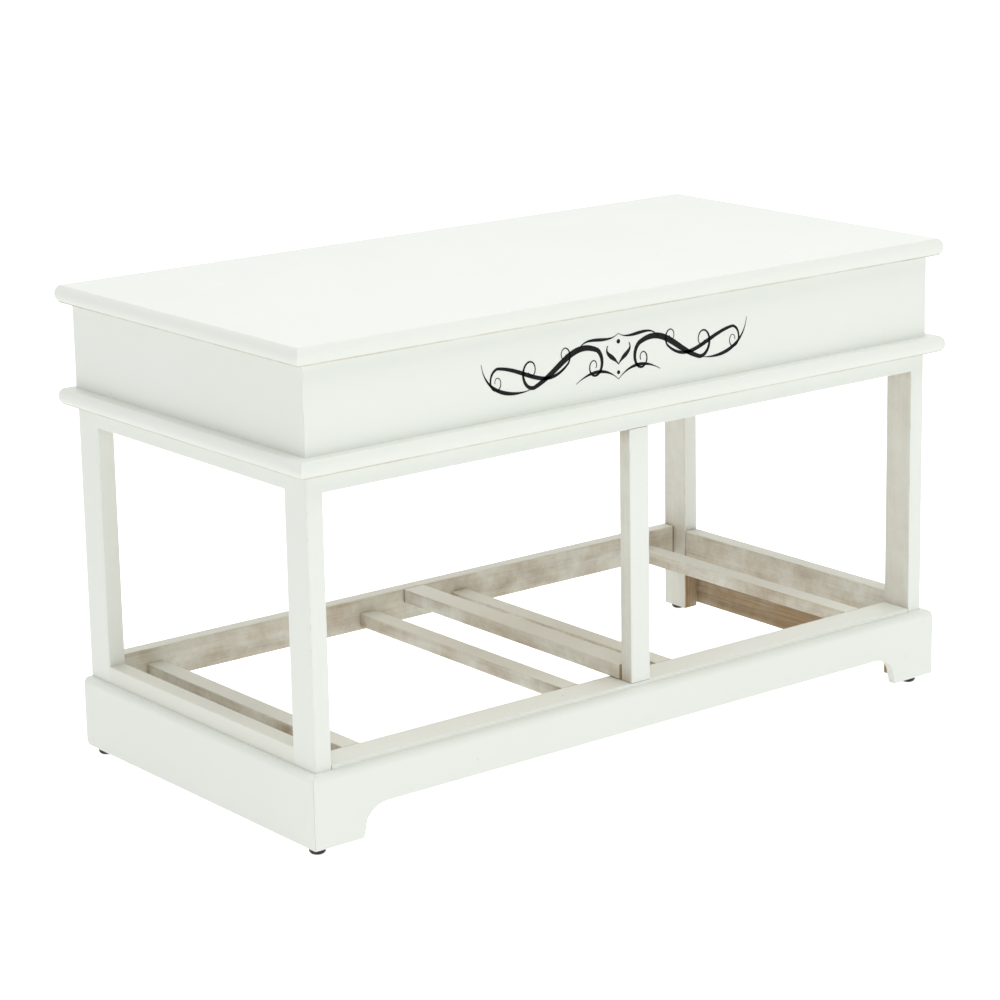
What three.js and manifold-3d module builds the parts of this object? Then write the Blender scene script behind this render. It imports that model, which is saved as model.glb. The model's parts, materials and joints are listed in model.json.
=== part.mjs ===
// Painted storage bench: a lift-up seat over a shallow chest, on an open frame with two basket bays.
// Millimetres, +Z up, front towards -Y, origin on the floor under the middle of the bench.
import * as THREE from 'three';
import { mergeVertices } from 'three/addons/utils/BufferGeometryUtils.js';
import Module from 'manifold-3d';

const wasm = await Module();
wasm.setup();

// ---- Driving dimensions -------------------------------------------------------------------
const GAP = 0.2; // open joint line left between two boards
const CLEAR = 0.3; // clearance between metal parts that turn or slide
const OVERLAP = 0.5; // how far two shapes that become one piece run into each other
const OUTSIDE = 4; // how far a cutting shape runs past the wood
const SIDES = { small: 12, medium: 16, large: 24 }; // facets of round bars and turned parts

const NOSE = 3.5; // how far the flat arc on the edges of the lid and the moulding stands out
const LID = { width: 800, front: -205.5, rear: 205.5, bottom: 457, top: 474.5 };
const CHEST = { width: 774, front: -193.5, rear: 195, bottom: 373, top: 456.5, board: 16 };
const CHEST_FLOOR = 6; // thickness of the sheet that the contents lie on
const MOULDING = { width: 804, front: -208.5, rear: 204.5, bottom: 357, top: 373, rail: 60 };

const FRAME = { width: 773, front: -192.5, rear: 194.5 }; // outside of the corner posts
const POST = { width: 18, depth: 35, foot: 6 };
const CENTRE_POST = { width: 24, depth: 16 };
const APRON = { bottom: 338, thick: 16 };
const FRONT_RAIL = { bottom: 66, top: 84 };
const REAR_RAIL = { bottom: 65.5, top: 99.5, thick: 16 };
const SIDE_RAIL = { bottom: 62, top: 97, thick: 17.5 };
const DIVIDER = { width: 26, height: 15 };
const SLAT = { width: 20, height: 14.5, outer: 322, inner: 60.5 };

const PLINTH = { thick: 9, bottom: 10, top: 80, roundOver: 6.5, heel: 5 };
const ARCH = { foot: 341.5, flare: 3, flareTop: 10, reach: 27, rise: 20 }; // half outline
const GLIDE = { radius: 8, stem: 2.5, stemLength: 16, edge: 4 }; // edge: radius of its dome
const GLIDE_INSET = { x: 6.5, y: 10.5 }; // from the frame's outside to the middle of a glide

const BATTEN = { width: 42, thick: 12, front: -150, rear: 130, x: 235 };

const HINGE = { x: 265, length: 64, knuckle: 3.5, pin: 1.5, leaf: 1.5, reach: 15 };
const SCREW = { head: 3, shank: 1.5, length: 12, spread: 20 };
const HINGE_AXIS = { y: CHEST.rear + HINGE.knuckle + CLEAR, z: (CHEST.top + LID.bottom) / 2 };

// Each stay is an arm as long as the distance from the hinge axis to its pivot on the lid, and its
// free end slides along a slot that points at the hinge axis. The two ends so stay equally far from
// the pivot, and the arm turns back by twice the lid's angle.
const STAY = { arm: 110, drop: 9, shut: 7, open: 82 }; // arm length, then angles in degrees
const TRACK = { width: 13, depth: 5, lip: 1.2, web: 0.8, cavity: 9.4, slot: 5.4, overrun: 10 };
const ARM = { width: 12, thick: 2 };
const SLIDER = { shank: 2.4, head: 4.3, headThick: 2.4, cap: 4, capThick: 1.1 };
const BRACKET = { thick: 2, plate: 18, length: 34, ear: 7, stud: 2.9, studHead: 4.5 };
const METAL_GAP = 0.5; // sideways room between the arm and its neighbours

// ---- Materials ----------------------------------------------------------------------------
const white = () => new THREE.MeshStandardMaterial({ color: 0xeeeee6, roughness: 0.5, metalness: 0 });
const washed = () => new THREE.MeshStandardMaterial({ color: 0xcfc6b2, roughness: 0.7, metalness: 0 });
const ply = () => new THREE.MeshStandardMaterial({ color: 0xc9b48c, roughness: 0.7, metalness: 0 });
const steel = () => new THREE.MeshStandardMaterial({ color: 0xb8b8b4, roughness: 0.35, metalness: 1 });
const black = () => new THREE.MeshStandardMaterial({ color: 0x151515, roughness: 0.6, metalness: 0 });

const bench = new THREE.Group();

function place(name, geometry, material) {
  const mesh = new THREE.Mesh(geometry, material);
  mesh.name = name;
  bench.add(mesh);
}

// ---- Solids -------------------------------------------------------------------------------
function toSolid(geometry) {
  const bare = geometry.clone();
  bare.deleteAttribute('normal');
  bare.deleteAttribute('uv');
  const merged = mergeVertices(bare, 1e-4);
  return new wasm.Manifold(new wasm.Mesh({
    numProp: 3,
    vertProperties: new Float32Array(merged.attributes.position.array),
    triVerts: new Uint32Array(merged.index.array),
  }));
}

function toGeometry(solid) {
  const mesh = solid.getMesh();
  const geometry = new THREE.BufferGeometry();
  geometry.setAttribute('position', new THREE.BufferAttribute(new Float32Array(mesh.vertProperties), 3));
  geometry.setIndex(new THREE.BufferAttribute(new Uint32Array(mesh.triVerts), 1));
  return geometry;
}

// A turned or round body, its doubled points joined.
function closed(geometry) {
  return toGeometry(toSolid(geometry));
}

// A board given by its lowest and highest corner.
function board([x0, y0, z0], [x1, y1, z1]) {
  const geometry = new THREE.BoxGeometry(x1 - x0, y1 - y0, z1 - z0);
  return geometry.translate((x0 + x1) / 2, (y0 + y1) / 2, (z0 + z1) / 2);
}

// Turns a shape drawn in (u, v) into a solid between two values of the third axis.
const PLANES = {
  xy: new THREE.Matrix4().makeBasis(
    new THREE.Vector3(1, 0, 0), new THREE.Vector3(0, 1, 0), new THREE.Vector3(0, 0, 1)),
  xz: new THREE.Matrix4().makeBasis(
    new THREE.Vector3(1, 0, 0), new THREE.Vector3(0, 0, 1), new THREE.Vector3(0, -1, 0)),
  yz: new THREE.Matrix4().makeBasis(
    new THREE.Vector3(0, 1, 0), new THREE.Vector3(0, 0, 1), new THREE.Vector3(1, 0, 0)),
};

function prism(shape, plane, from, to, curveSegments = 8) {
  const options = { depth: to - from, bevelEnabled: false, curveSegments };
  const geometry = new THREE.ExtrudeGeometry(shape, options);
  const start = plane === 'xz' ? -to : from;
  return geometry.translate(0, 0, start).applyMatrix4(PLANES[plane]);
}

function polygon(points) {
  return new THREE.Shape(points.map(([u, v]) => new THREE.Vector2(u, v)));
}

// A round bar along X between two values of x.
function barAlongX(radius, [y, z], from, to, sides = SIDES.medium) {
  const geometry = new THREE.CylinderGeometry(radius, radius, to - from, sides);
  return geometry.rotateZ(Math.PI / 2).translate((from + to) / 2, y, z);
}

// A slab whose four edges are a flat arc between two crisp arrises, mitred at the corners. It is
// built from rectangles laid on each other.
function nosedSlab({ width, front, rear, bottom, top }, steps = 8) {
  const half = (top - bottom) / 2;
  const radius = (half * half + NOSE * NOSE) / (2 * NOSE);
  const limit = Math.asin(half / radius);
  const positions = [];
  for (let i = 0; i <= steps; i++) {
    const angle = limit * ((2 * i) / steps - 1);
    const inset = radius * (1 - Math.cos(angle));
    const z = bottom + half + radius * Math.sin(angle);
    const x = width / 2 - inset;
    positions.push(-x, front + inset, z, x, front + inset, z, x, rear - inset, z, -x, rear - inset, z);
  }
  return toSolid(lofted(positions, 4));
}

// Joins rings of the same number of points into one closed body with flat ends.
function lofted(positions, perRing) {
  const ringCount = positions.length / 3 / perRing;
  const index = [];
  for (let r = 0; r < ringCount - 1; r++) {
    for (let k = 0; k < perRing; k++) {
      const a = r * perRing + k;
      const b = r * perRing + ((k + 1) % perRing);
      index.push(a, b, b + perRing, a, b + perRing, a + perRing);
    }
  }
  const last = (ringCount - 1) * perRing;
  for (let k = 1; k < perRing - 1; k++) {
    index.push(0, k + 1, k, last, last + k, last + k + 1);
  }
  const geometry = new THREE.BufferGeometry();
  geometry.setAttribute('position', new THREE.Float32BufferAttribute(positions, 3));
  geometry.setIndex(index);
  return geometry;
}

function mirrorX(geometry) {
  const mirrored = geometry.clone().scale(-1, 1, 1);
  const index = mirrored.index.array;
  for (let i = 0; i < index.length; i += 3) {
    [index[i], index[i + 1]] = [index[i + 1], index[i]];
  }
  return mirrored;
}

// Places a right-hand piece and its mirror image.
function placePair(name, rightGeometry, material) {
  const right = rightGeometry.index ? rightGeometry : mergeVertices(rightGeometry);
  place(`${name}_right`, right, material());
  place(`${name}_left`, mirrorX(right), material());
}

// The plan outline of one side of a mitred frame, reaching `deep` inwards from the frame's corner.
function mitredSide(side, { x, front, rear }, deep) {
  const slit = GAP / Math.SQRT2;
  const o = OUTSIDE;
  const outlines = {
    front: [[-x - o + slit, front - o], [x + o - slit, front - o],
      [x - deep - slit, front + deep], [-x + deep + slit, front + deep]],
    rear: [[-x - o + slit, rear + o], [-x + deep + slit, rear - deep],
      [x - deep - slit, rear - deep], [x + o - slit, rear + o]],
    right: [[x + o, front - o + slit], [x + o, rear + o - slit],
      [x - deep, rear - deep - slit], [x - deep, front + deep + slit]],
    left: [[-x - o, front - o + slit], [-x + deep, front + deep + slit],
      [-x + deep, rear - deep - slit], [-x - o, rear + o - slit]],
  };
  return polygon(outlines[side]);
}

function mitredFrame(ring, outline, deep, bottom, top) {
  const sides = {};
  for (const side of ['front', 'rear', 'left', 'right']) {
    const wedge = toSolid(prism(mitredSide(side, outline, deep), 'xy', bottom - OUTSIDE, top + OUTSIDE));
    sides[side] = toGeometry(ring.intersect(wedge));
  }
  return sides;
}

// ---- Glides and posts ---------------------------------------------------------------------
// A solid turned about the vertical, from an outline of (radius, height) that starts and ends on it.
function turned(outline, sides) {
  return new THREE.LatheGeometry(outline.map(([r, z]) => new THREE.Vector2(r, z)), sides)
    .rotateX(Math.PI / 2);
}

function glide(steps = 6) {
  const { radius, edge, stem, stemLength } = GLIDE;
  const capTop = POST.foot - GAP;
  const stemTop = POST.foot + stemLength;
  const outline = [[0, 0], [radius - edge, 0]];
  for (let i = 1; i <= steps; i++) {
    const angle = (Math.PI / 2) * (i / steps);
    outline.push([radius - edge + edge * Math.sin(angle), edge - edge * Math.cos(angle)]);
  }
  outline.push([radius, capTop], [stem, capTop], [stem, stemTop], [0, stemTop]);
  return turned(outline, SIDES.large);
}

function addCornerPostsAndGlides() {
  const outer = FRAME.width / 2;
  const rows = {
    front: [FRAME.front, FRAME.front + POST.depth, FRAME.front + GLIDE_INSET.y],
    rear: [FRAME.rear - POST.depth, FRAME.rear, FRAME.rear - GLIDE_INSET.y],
  };
  for (const [row, [y0, y1, glideY]] of Object.entries(rows)) {
    const timber = toSolid(board([outer - POST.width, y0, POST.foot], [outer, y1, MOULDING.bottom - GAP]));
    const centre = [outer - GLIDE_INSET.x, glideY];
    const socket = new THREE.CylinderGeometry(
      GLIDE.stem + CLEAR, GLIDE.stem + CLEAR, GLIDE.stemLength + CLEAR + OUTSIDE, SIDES.medium);
    socket.rotateX(Math.PI / 2);
    socket.translate(centre[0], centre[1], POST.foot + (GLIDE.stemLength + CLEAR - OUTSIDE) / 2);
    placePair(`post_${row}`, toGeometry(timber.subtract(toSolid(socket))), white);
    placePair(`glide_${row}`, closed(glide().translate(centre[0], centre[1], 0)), black);
  }
}

function addCentrePost() {
  const x = CENTRE_POST.width / 2;
  const rear = FRAME.front + CENTRE_POST.depth;
  place('post_front_centre',
    board([-x, FRAME.front, FRONT_RAIL.top + GAP], [x, rear, APRON.bottom - GAP]), white());
}

// ---- Rails of the open frame --------------------------------------------------------------
const betweenPosts = {
  x: FRAME.width / 2 - POST.width - GAP,
  y0: FRAME.front + POST.depth + GAP,
  y1: FRAME.rear - POST.depth - GAP,
};

function addAprons() {
  const { x, y0, y1 } = betweenPosts;
  const top = MOULDING.bottom - GAP;
  const front = FRAME.front + APRON.thick;
  const rear = FRAME.rear - APRON.thick;
  const outer = FRAME.width / 2;
  place('apron_front', board([-x, FRAME.front, APRON.bottom], [x, front, top]), white());
  place('apron_rear', board([-x, rear, APRON.bottom], [x, FRAME.rear, top]), white());
  placePair('apron', board([outer - APRON.thick, y0, APRON.bottom], [outer, y1, top]), white);
}

function addBottomRails() {
  const { x, y0, y1 } = betweenPosts;
  const outer = FRAME.width / 2;
  const front = FRAME.front + POST.depth;
  const rear = FRAME.rear - REAR_RAIL.thick;
  place('rail_front', board([-x, FRAME.front, FRONT_RAIL.bottom], [x, front, FRONT_RAIL.top]), white());
  place('rail_rear', board([-x, rear, REAR_RAIL.bottom], [x, FRAME.rear, REAR_RAIL.top]), washed());
  const { bottom, top, thick } = SIDE_RAIL;
  placePair('rail', board([outer - thick, y0, bottom], [outer, y1, top]), washed);
}

function addDivider() {
  const x = DIVIDER.width / 2;
  const front = FRAME.front + CENTRE_POST.depth + GAP;
  const rear = FRAME.rear - REAR_RAIL.thick - GAP;
  place('divider_rail',
    board([-x, front, REAR_RAIL.top - DIVIDER.height], [x, rear, REAR_RAIL.top]), washed());
}

function addSlats() {
  const front = FRAME.front + POST.depth + GAP;
  const rear = FRAME.rear - REAR_RAIL.thick - GAP;
  const half = SLAT.width / 2;
  for (const [name, x] of [['slat_outer', SLAT.outer], ['slat_inner', SLAT.inner]]) {
    const bottom = FRONT_RAIL.top - SLAT.height;
    placePair(name, board([x - half, front, bottom], [x + half, rear, FRONT_RAIL.top]), washed);
  }
}

// ---- Plinth -------------------------------------------------------------------------------
const plinthOutline = {
  x: FRAME.width / 2 + GAP + PLINTH.thick,
  front: FRAME.front - GAP - PLINTH.thick,
  rear: FRAME.rear,
};

// Section across the board, its outer face towards +u, the top outer edge rounded over.
function plinthSection(outerFace, direction, steps = 6) {
  const { thick, bottom, top, roundOver } = PLINTH;
  const points = [[thick, bottom], [0, bottom]];
  for (let i = 0; i <= steps; i++) {
    const angle = (Math.PI / 2) * (i / steps);
    points.push([roundOver - roundOver * Math.cos(angle), top - roundOver + roundOver * Math.sin(angle)]);
  }
  points.push([thick, top]);
  return polygon(points.map(([inwards, z]) => [outerFace + direction * inwards, z]));
}

// Half outline of the opening between the bracket feet, mirrored about the middle.
function archShape(steps = 8) {
  const { foot, flare, flareTop, reach, rise } = ARCH;
  const base = PLINTH.bottom;
  const below = foot + (flare * OUTSIDE) / flareTop;
  const quarter = [[below, base - OUTSIDE], [foot, base], [foot - flare, base + flareTop]];
  const centre = foot - flare - reach;
  for (let i = 1; i <= steps; i++) {
    const angle = (Math.PI / 2) * (i / steps);
    quarter.push([centre + reach * Math.cos(angle), base + flareTop + rise * Math.sin(angle)]);
  }
  const mirrored = quarter.map(([x, z]) => [-x, z]).reverse();
  return polygon([...quarter, ...mirrored]);
}

function addPlinthFront() {
  const { x, front } = plinthOutline;
  const timber = toSolid(prism(plinthSection(front, 1), 'yz', -x, x));
  const wedge = prism(mitredSide('front', plinthOutline, PLINTH.thick + OUTSIDE), 'xy',
    PLINTH.bottom - OUTSIDE, PLINTH.top + OUTSIDE);
  const arch = prism(archShape(), 'xz', front - OUTSIDE, front + PLINTH.thick + OUTSIDE);
  place('plinth_front', toGeometry(timber.intersect(toSolid(wedge)).subtract(toSolid(arch))), white());
}

function addPlinthSides() {
  const { x, front, rear } = plinthOutline;
  const timber = toSolid(prism(plinthSection(x, -1), 'xz', front, rear));
  const slit = GAP / Math.SQRT2;
  const deep = PLINTH.thick + OUTSIDE;
  const wedge = polygon([[x + OUTSIDE, front - OUTSIDE + slit], [x + OUTSIDE, rear],
    [x - deep, rear], [x - deep, front + deep + slit]]);
  const { bottom, top, heel } = PLINTH;
  const side = new THREE.Shape();
  side.moveTo(front - OUTSIDE, bottom);
  side.lineTo(rear - heel, bottom);
  side.absarc(rear - heel, bottom + heel, heel, -Math.PI / 2, 0, false);
  side.lineTo(rear, top + OUTSIDE);
  side.lineTo(front - OUTSIDE, top + OUTSIDE);
  const solid = timber
    .intersect(toSolid(prism(wedge, 'xy', bottom - OUTSIDE, top + OUTSIDE)))
    .intersect(toSolid(prism(side, 'yz', x - deep, x + OUTSIDE)));
  placePair('plinth', toGeometry(solid), white);
}

// ---- Moulding under the chest -------------------------------------------------------------
function addMoulding() {
  const { front, rear, bottom, top, rail } = MOULDING;
  const x = MOULDING.width / 2;
  const opening = board(
    [-x + rail, front + rail, bottom - OUTSIDE], [x - rail, rear - rail, top + OUTSIDE]);
  const ring = nosedSlab(MOULDING).subtract(toSolid(opening));
  const sides = mitredFrame(ring, { x, front, rear }, rail + OUTSIDE, bottom, top);
  for (const [side, geometry] of Object.entries(sides)) {
    place(`moulding_${side}`, geometry, white());
  }
}

// ---- Chest --------------------------------------------------------------------------------
function addChest() {
  const x = CHEST.width / 2;
  const { front, rear, board: thick, top } = CHEST;
  const bottom = CHEST.bottom + GAP;
  const outer = toSolid(board([-x, front, bottom], [x, rear, top]));
  const inner = board(
    [-x + thick, front + thick, bottom - OUTSIDE], [x - thick, rear - thick, top + OUTSIDE]);
  const ring = outer.subtract(toSolid(inner)).subtract(hingeSeats(fixedLeafZ));
  const sides = mitredFrame(ring, { x, front, rear }, thick + OUTSIDE, bottom, top);
  for (const [side, geometry] of Object.entries(sides)) {
    place(`chest_${side}`, geometry, white());
  }
  place('chest_floor', board(
    [-x + thick + GAP, front + thick + GAP, bottom],
    [x - thick - GAP, rear - thick - GAP, bottom + CHEST_FLOOR]), ply());
}

// ---- Hinges -------------------------------------------------------------------------------
// The two leaves lie each side of the parting plane, let into the rear board and into the lid.
const PARTING = (LID.bottom - CHEST.top) / 2;
const fixedLeafZ = [HINGE_AXIS.z - PARTING - HINGE.leaf, HINGE_AXIS.z - PARTING];
const lidLeafZ = [HINGE_AXIS.z + PARTING, HINGE_AXIS.z + PARTING + HINGE.leaf];
const leafFront = CHEST.rear - HINGE.reach;
const screwY = CHEST.rear - HINGE.reach / 2;

const hingeXs = [-HINGE.x, HINGE.x];
const screwXs = (x) => [x - SCREW.spread, x + SCREW.spread];

// Countersunk screw, its head at z = 0 and its point towards +z.
function screwBody(grow = 0) {
  const { head, shank, length } = SCREW;
  const end = length + grow;
  return turned([[0, -grow], [head + grow, -grow], [shank + grow, head - shank],
    [shank + grow, end], [0, end]], SIDES.small);
}

// A screw, or its hole, in the lid (pointing up) or in the rear board (pointing down).
function screwAt(x, zRange, isLid, grow = 0) {
  const body = screwBody(grow);
  if (!isLid) {
    body.rotateX(Math.PI);
  }
  return toSolid(body.translate(x, screwY, isLid ? zRange[0] : zRange[1]));
}

// Everything that is cut out of the wood for both hinges: leaf pockets, knuckle room, screw holes.
// The lid's pocket runs out through its rear edge.
function hingeSeats(zRange) {
  const isLid = zRange === lidLeafZ;
  const length = HINGE.length / 2 + CLEAR;
  const rear = isLid ? LID.rear + OUTSIDE : HINGE_AXIS.y;
  const cuts = hingeXs.flatMap((x) => {
    const low = isLid ? LID.bottom - OUTSIDE : zRange[0] - CLEAR;
    const high = isLid ? zRange[1] + CLEAR : CHEST.top + OUTSIDE;
    const pocket = toSolid(board([x - length, leafFront - CLEAR, low], [x + length, rear, high]));
    const room = barAlongX(HINGE.knuckle + CLEAR, [HINGE_AXIS.y, HINGE_AXIS.z], x - length, x + length);
    return [pocket, toSolid(room), ...screwXs(x).map((sx) => screwAt(sx, zRange, isLid, CLEAR))];
  });
  return cuts.reduce((all, cut) => all.add(cut));
}

// A leaf with its knuckles, given as stretches of x measured from the hinge's middle.
function hingeLeaf(x, zRange, knuckles) {
  const isLid = zRange === lidLeafZ;
  const half = HINGE.length / 2;
  const edge = CHEST.rear - GAP;
  let leaf = toSolid(board([x - half, leafFront, zRange[0]], [x + half, edge, zRange[1]]));
  for (const [from, to] of knuckles) {
    const tab = board([x + from, edge - OVERLAP, zRange[0]], [x + to, HINGE_AXIS.y, zRange[1]]);
    const barrel = barAlongX(HINGE.knuckle, [HINGE_AXIS.y, HINGE_AXIS.z], x + from, x + to);
    leaf = leaf.add(toSolid(tab)).add(toSolid(barrel));
  }
  const bore = barAlongX(HINGE.pin + CLEAR, [HINGE_AXIS.y, HINGE_AXIS.z],
    x - half - OUTSIDE, x + half + OUTSIDE, SIDES.small);
  leaf = leaf.subtract(toSolid(bore));
  for (const sx of screwXs(x)) {
    leaf = leaf.subtract(screwAt(sx, zRange, isLid, CLEAR));
  }
  return leaf;
}

function addHinges() {
  const half = HINGE.length / 2;
  const inner = half / 2;
  for (const [side, x] of [['left', -HINGE.x], ['right', HINGE.x]]) {
    const ends = [[-half, -inner], [inner, half]];
    const middle = [[-inner + CLEAR, inner - CLEAR]];
    place(`hinge_leaf_fixed_${side}`, toGeometry(hingeLeaf(x, fixedLeafZ, ends)), steel());
    place(`hinge_leaf_lid_${side}`, toGeometry(hingeLeaf(x, lidLeafZ, middle)), steel());
    const pin = barAlongX(HINGE.pin, [HINGE_AXIS.y, HINGE_AXIS.z], x - half, x + half, SIDES.small);
    place(`hinge_pin_${side}`, closed(pin), steel());
    screwXs(x).forEach((sx, i) => {
      place(`screw_fixed_${side}_${i + 1}`, toGeometry(screwAt(sx, fixedLeafZ, false)), steel());
      place(`screw_lid_${side}_${i + 1}`, toGeometry(screwAt(sx, lidLeafZ, true)), steel());
    });
  }
}

// ---- Lid ----------------------------------------------------------------------------------
function addLid() {
  place('lid_panel', toGeometry(nosedSlab(LID).subtract(hingeSeats(lidLeafZ))), white());
  const top = LID.bottom - GAP;
  const half = BATTEN.width / 2;
  placePair('lid_batten', board(
    [BATTEN.x - half, BATTEN.front, top - BATTEN.thick], [BATTEN.x + half, BATTEN.rear, top]), white);
}

// ---- Lid stays ----------------------------------------------------------------------------
const toRadians = THREE.MathUtils.degToRad;
const armAngle = toRadians(STAY.drop); // lid pivot below the level of the hinge axis, lid shut
const trackAngle = toRadians(STAY.drop + STAY.shut);

// A point (y, z) at a distance from the hinge axis, along a line that falls towards the front.
function fromHinge(distance, angle) {
  return [HINGE_AXIS.y - distance * Math.cos(angle), HINGE_AXIS.z - distance * Math.sin(angle)];
}

const lidPivot = fromHinge(STAY.arm, armAngle);
const sliderAt = (degrees) => 2 * STAY.arm * Math.cos(toRadians(degrees));
const sliderShut = fromHinge(sliderAt(STAY.shut), trackAngle);

// A strip with round ends from one point (y, z) to another, between two values of x.
function strip(a, b, width, x0, x1) {
  const r = width / 2;
  const along = Math.atan2(b[1] - a[1], b[0] - a[0]);
  const shape = new THREE.Shape();
  shape.absarc(b[0], b[1], r, along - Math.PI / 2, along + Math.PI / 2, false);
  shape.absarc(a[0], a[1], r, along + Math.PI / 2, along + (3 * Math.PI) / 2, false);
  shape.closePath();
  return toSolid(prism(shape, 'yz', x0, x1, SIDES.small));
}

const trackBack = CHEST.width / 2 - CHEST.board - GAP;
const trackFace = trackBack - TRACK.depth;
const armOuter = trackFace - METAL_GAP;
const armInner = armOuter - ARM.thick;
const earOuter = armInner - METAL_GAP;
const earInner = earOuter - BRACKET.thick;

function stayTrack() {
  const near = fromHinge(sliderAt(STAY.open), trackAngle);
  const far = fromHinge(sliderAt(STAY.shut) + TRACK.overrun, trackAngle);
  const cavityX = [trackFace + TRACK.lip, trackBack - TRACK.web];
  return strip(near, far, TRACK.width, trackFace, trackBack)
    .subtract(strip(near, sliderShut, TRACK.cavity, ...cavityX))
    .subtract(strip(near, sliderShut, TRACK.slot, trackFace - OVERLAP, cavityX[0] + OVERLAP));
}

function stayArm() {
  return strip(lidPivot, sliderShut, ARM.width, armInner, armOuter)
    .subtract(toSolid(barAlongX(BRACKET.stud + CLEAR, lidPivot, armInner - OVERLAP, armOuter + OVERLAP)))
    .subtract(toSolid(barAlongX(SLIDER.shank + CLEAR, sliderShut, armInner - OVERLAP, armOuter + OVERLAP)));
}

function staySlider() {
  const headFrom = trackFace + TRACK.lip + CLEAR;
  const capTo = armInner - CLEAR;
  const shank = barAlongX(SLIDER.shank, sliderShut, capTo - OVERLAP, headFrom + OVERLAP);
  return toSolid(shank)
    .add(toSolid(barAlongX(SLIDER.head, sliderShut, headFrom, headFrom + SLIDER.headThick)))
    .add(toSolid(barAlongX(SLIDER.cap, sliderShut, capTo - SLIDER.capThick, capTo)));
}

// Plate under the lid with an ear that hangs down and carries the arm on a headed stud.
function stayBracket() {
  const top = LID.bottom - GAP;
  const [y, z] = lidPivot;
  const half = BRACKET.length / 2;
  const plate = board([earOuter - BRACKET.plate, y - half, top - BRACKET.thick], [earOuter, y + half, top]);
  const studEnd = armOuter + CLEAR;
  const ear = polygon([[y - half, top], [y - half, top - BRACKET.thick], [y - BRACKET.ear, z],
    [y + BRACKET.ear, z], [y + half, top - BRACKET.thick], [y + half, top]]);
  return toSolid(plate)
    .add(toSolid(prism(ear, 'yz', earInner, earOuter)))
    .add(toSolid(barAlongX(BRACKET.ear, lidPivot, earInner, earOuter)))
    .add(toSolid(barAlongX(BRACKET.stud, lidPivot, earInner + OVERLAP, studEnd + OVERLAP)))
    .add(toSolid(barAlongX(BRACKET.studHead, lidPivot, studEnd, studEnd + SLIDER.capThick)));
}

function addStays() {
  placePair('stay_track', toGeometry(stayTrack()), steel);
  placePair('stay_arm', toGeometry(stayArm()), steel);
  placePair('stay_slider', toGeometry(staySlider()), steel);
  placePair('stay_bracket', toGeometry(stayBracket()), steel);
}

addCornerPostsAndGlides();
addCentrePost();
addAprons();
addBottomRails();
addDivider();
addSlats();
addPlinthFront();
addPlinthSides();
addMoulding();
addChest();
addHinges();
addLid();
addStays();

export default bench;
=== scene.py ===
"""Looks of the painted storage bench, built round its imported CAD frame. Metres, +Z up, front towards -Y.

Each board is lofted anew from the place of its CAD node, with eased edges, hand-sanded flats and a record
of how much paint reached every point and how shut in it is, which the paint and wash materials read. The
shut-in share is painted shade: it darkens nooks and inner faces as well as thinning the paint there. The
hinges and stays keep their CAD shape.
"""
import json
import math

import bmesh
import bpy
from mathutils import Matrix, Vector, noise
from mathutils.bvhtree import BVHTree


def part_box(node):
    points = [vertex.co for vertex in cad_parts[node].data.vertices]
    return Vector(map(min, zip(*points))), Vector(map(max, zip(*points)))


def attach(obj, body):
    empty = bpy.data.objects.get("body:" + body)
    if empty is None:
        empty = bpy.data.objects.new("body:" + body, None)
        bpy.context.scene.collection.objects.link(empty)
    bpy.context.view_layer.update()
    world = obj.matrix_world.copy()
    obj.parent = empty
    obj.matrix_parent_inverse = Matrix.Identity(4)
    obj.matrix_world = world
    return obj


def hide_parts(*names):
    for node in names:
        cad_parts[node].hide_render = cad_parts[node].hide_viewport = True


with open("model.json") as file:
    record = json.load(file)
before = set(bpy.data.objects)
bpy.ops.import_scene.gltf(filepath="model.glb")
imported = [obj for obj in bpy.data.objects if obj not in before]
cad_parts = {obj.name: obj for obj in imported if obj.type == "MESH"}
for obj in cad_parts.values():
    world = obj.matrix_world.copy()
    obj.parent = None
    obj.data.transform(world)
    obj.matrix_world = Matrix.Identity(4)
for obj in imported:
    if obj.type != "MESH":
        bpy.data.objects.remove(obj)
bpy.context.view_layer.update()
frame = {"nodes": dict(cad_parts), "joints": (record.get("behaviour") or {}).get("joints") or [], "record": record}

MM = 0.001
RECORD = frame["record"]
BODY_OF = {node: body for body, nodes in RECORD["behaviour"]["bodies"].items() for node in nodes}
SIDES = {"left": -1, "right": 1}
FRAME_SIDES = ("front", "rear", "left", "right")

# ==== sizes in millimetres that the CAD boxes do not give
GAP = 0.2  # open joint line between two boards
EASE = 1.3  # radius of a sanded long edge
FLUSH = GAP + EASE - 0.1  # takes a flush board over its neighbour's sanded edge, so no seam is left
OPEN = -0.6  # opens a washed rail's joint line to a crack
CRISP = 0.3  # radius of a sawn end
END_EDGE = (0.6, 0.25)  # how much a sawn end's face and its rim count as edges
ROUND = 3.0  # an edge of this radius or more is a round one, not an eased one
STATION = 14.0  # distance between the rings of a board
WAVE = 0.07  # how far a hand-sanded flat wanders
PLINTH_ROUND = 6.5  # round-over on the plinth's top edge
PLINTH_HEEL = 5.0  # rounded lower rear corner of the plinth's sides
PLINTH_EDGE = 2.0  # height of the plinth's lower edge that follows the arch and the heel
ARCH = {"foot": 341.5, "flare": 3.0, "flare_top": 10.0, "reach": 27.0, "rise": 20.0}
SOCKET = {"radius": 2.8, "depth": 16.3}
STEM = {"radius": 2.5, "length": 16.0, "edge": 0.5}
GLIDE_DOME = 4.0
NOSE = 3.5  # how far the flat arc on the edges of the lid and the moulding stands out
NOSE_STEPS = 12
ARRIS = 0.35  # sanding of the two arrises of that arc
MOULDING_RAIL = 60.0
CHEST_BOARD = 16.0
LID_CELL = 10.0  # width of the cells on the lid's flats
MITRE_LINE = 0.005  # what paint leaves open of a mitre
MITRE_EASE = 0.06  # a mitre's ends stay crisp
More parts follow.
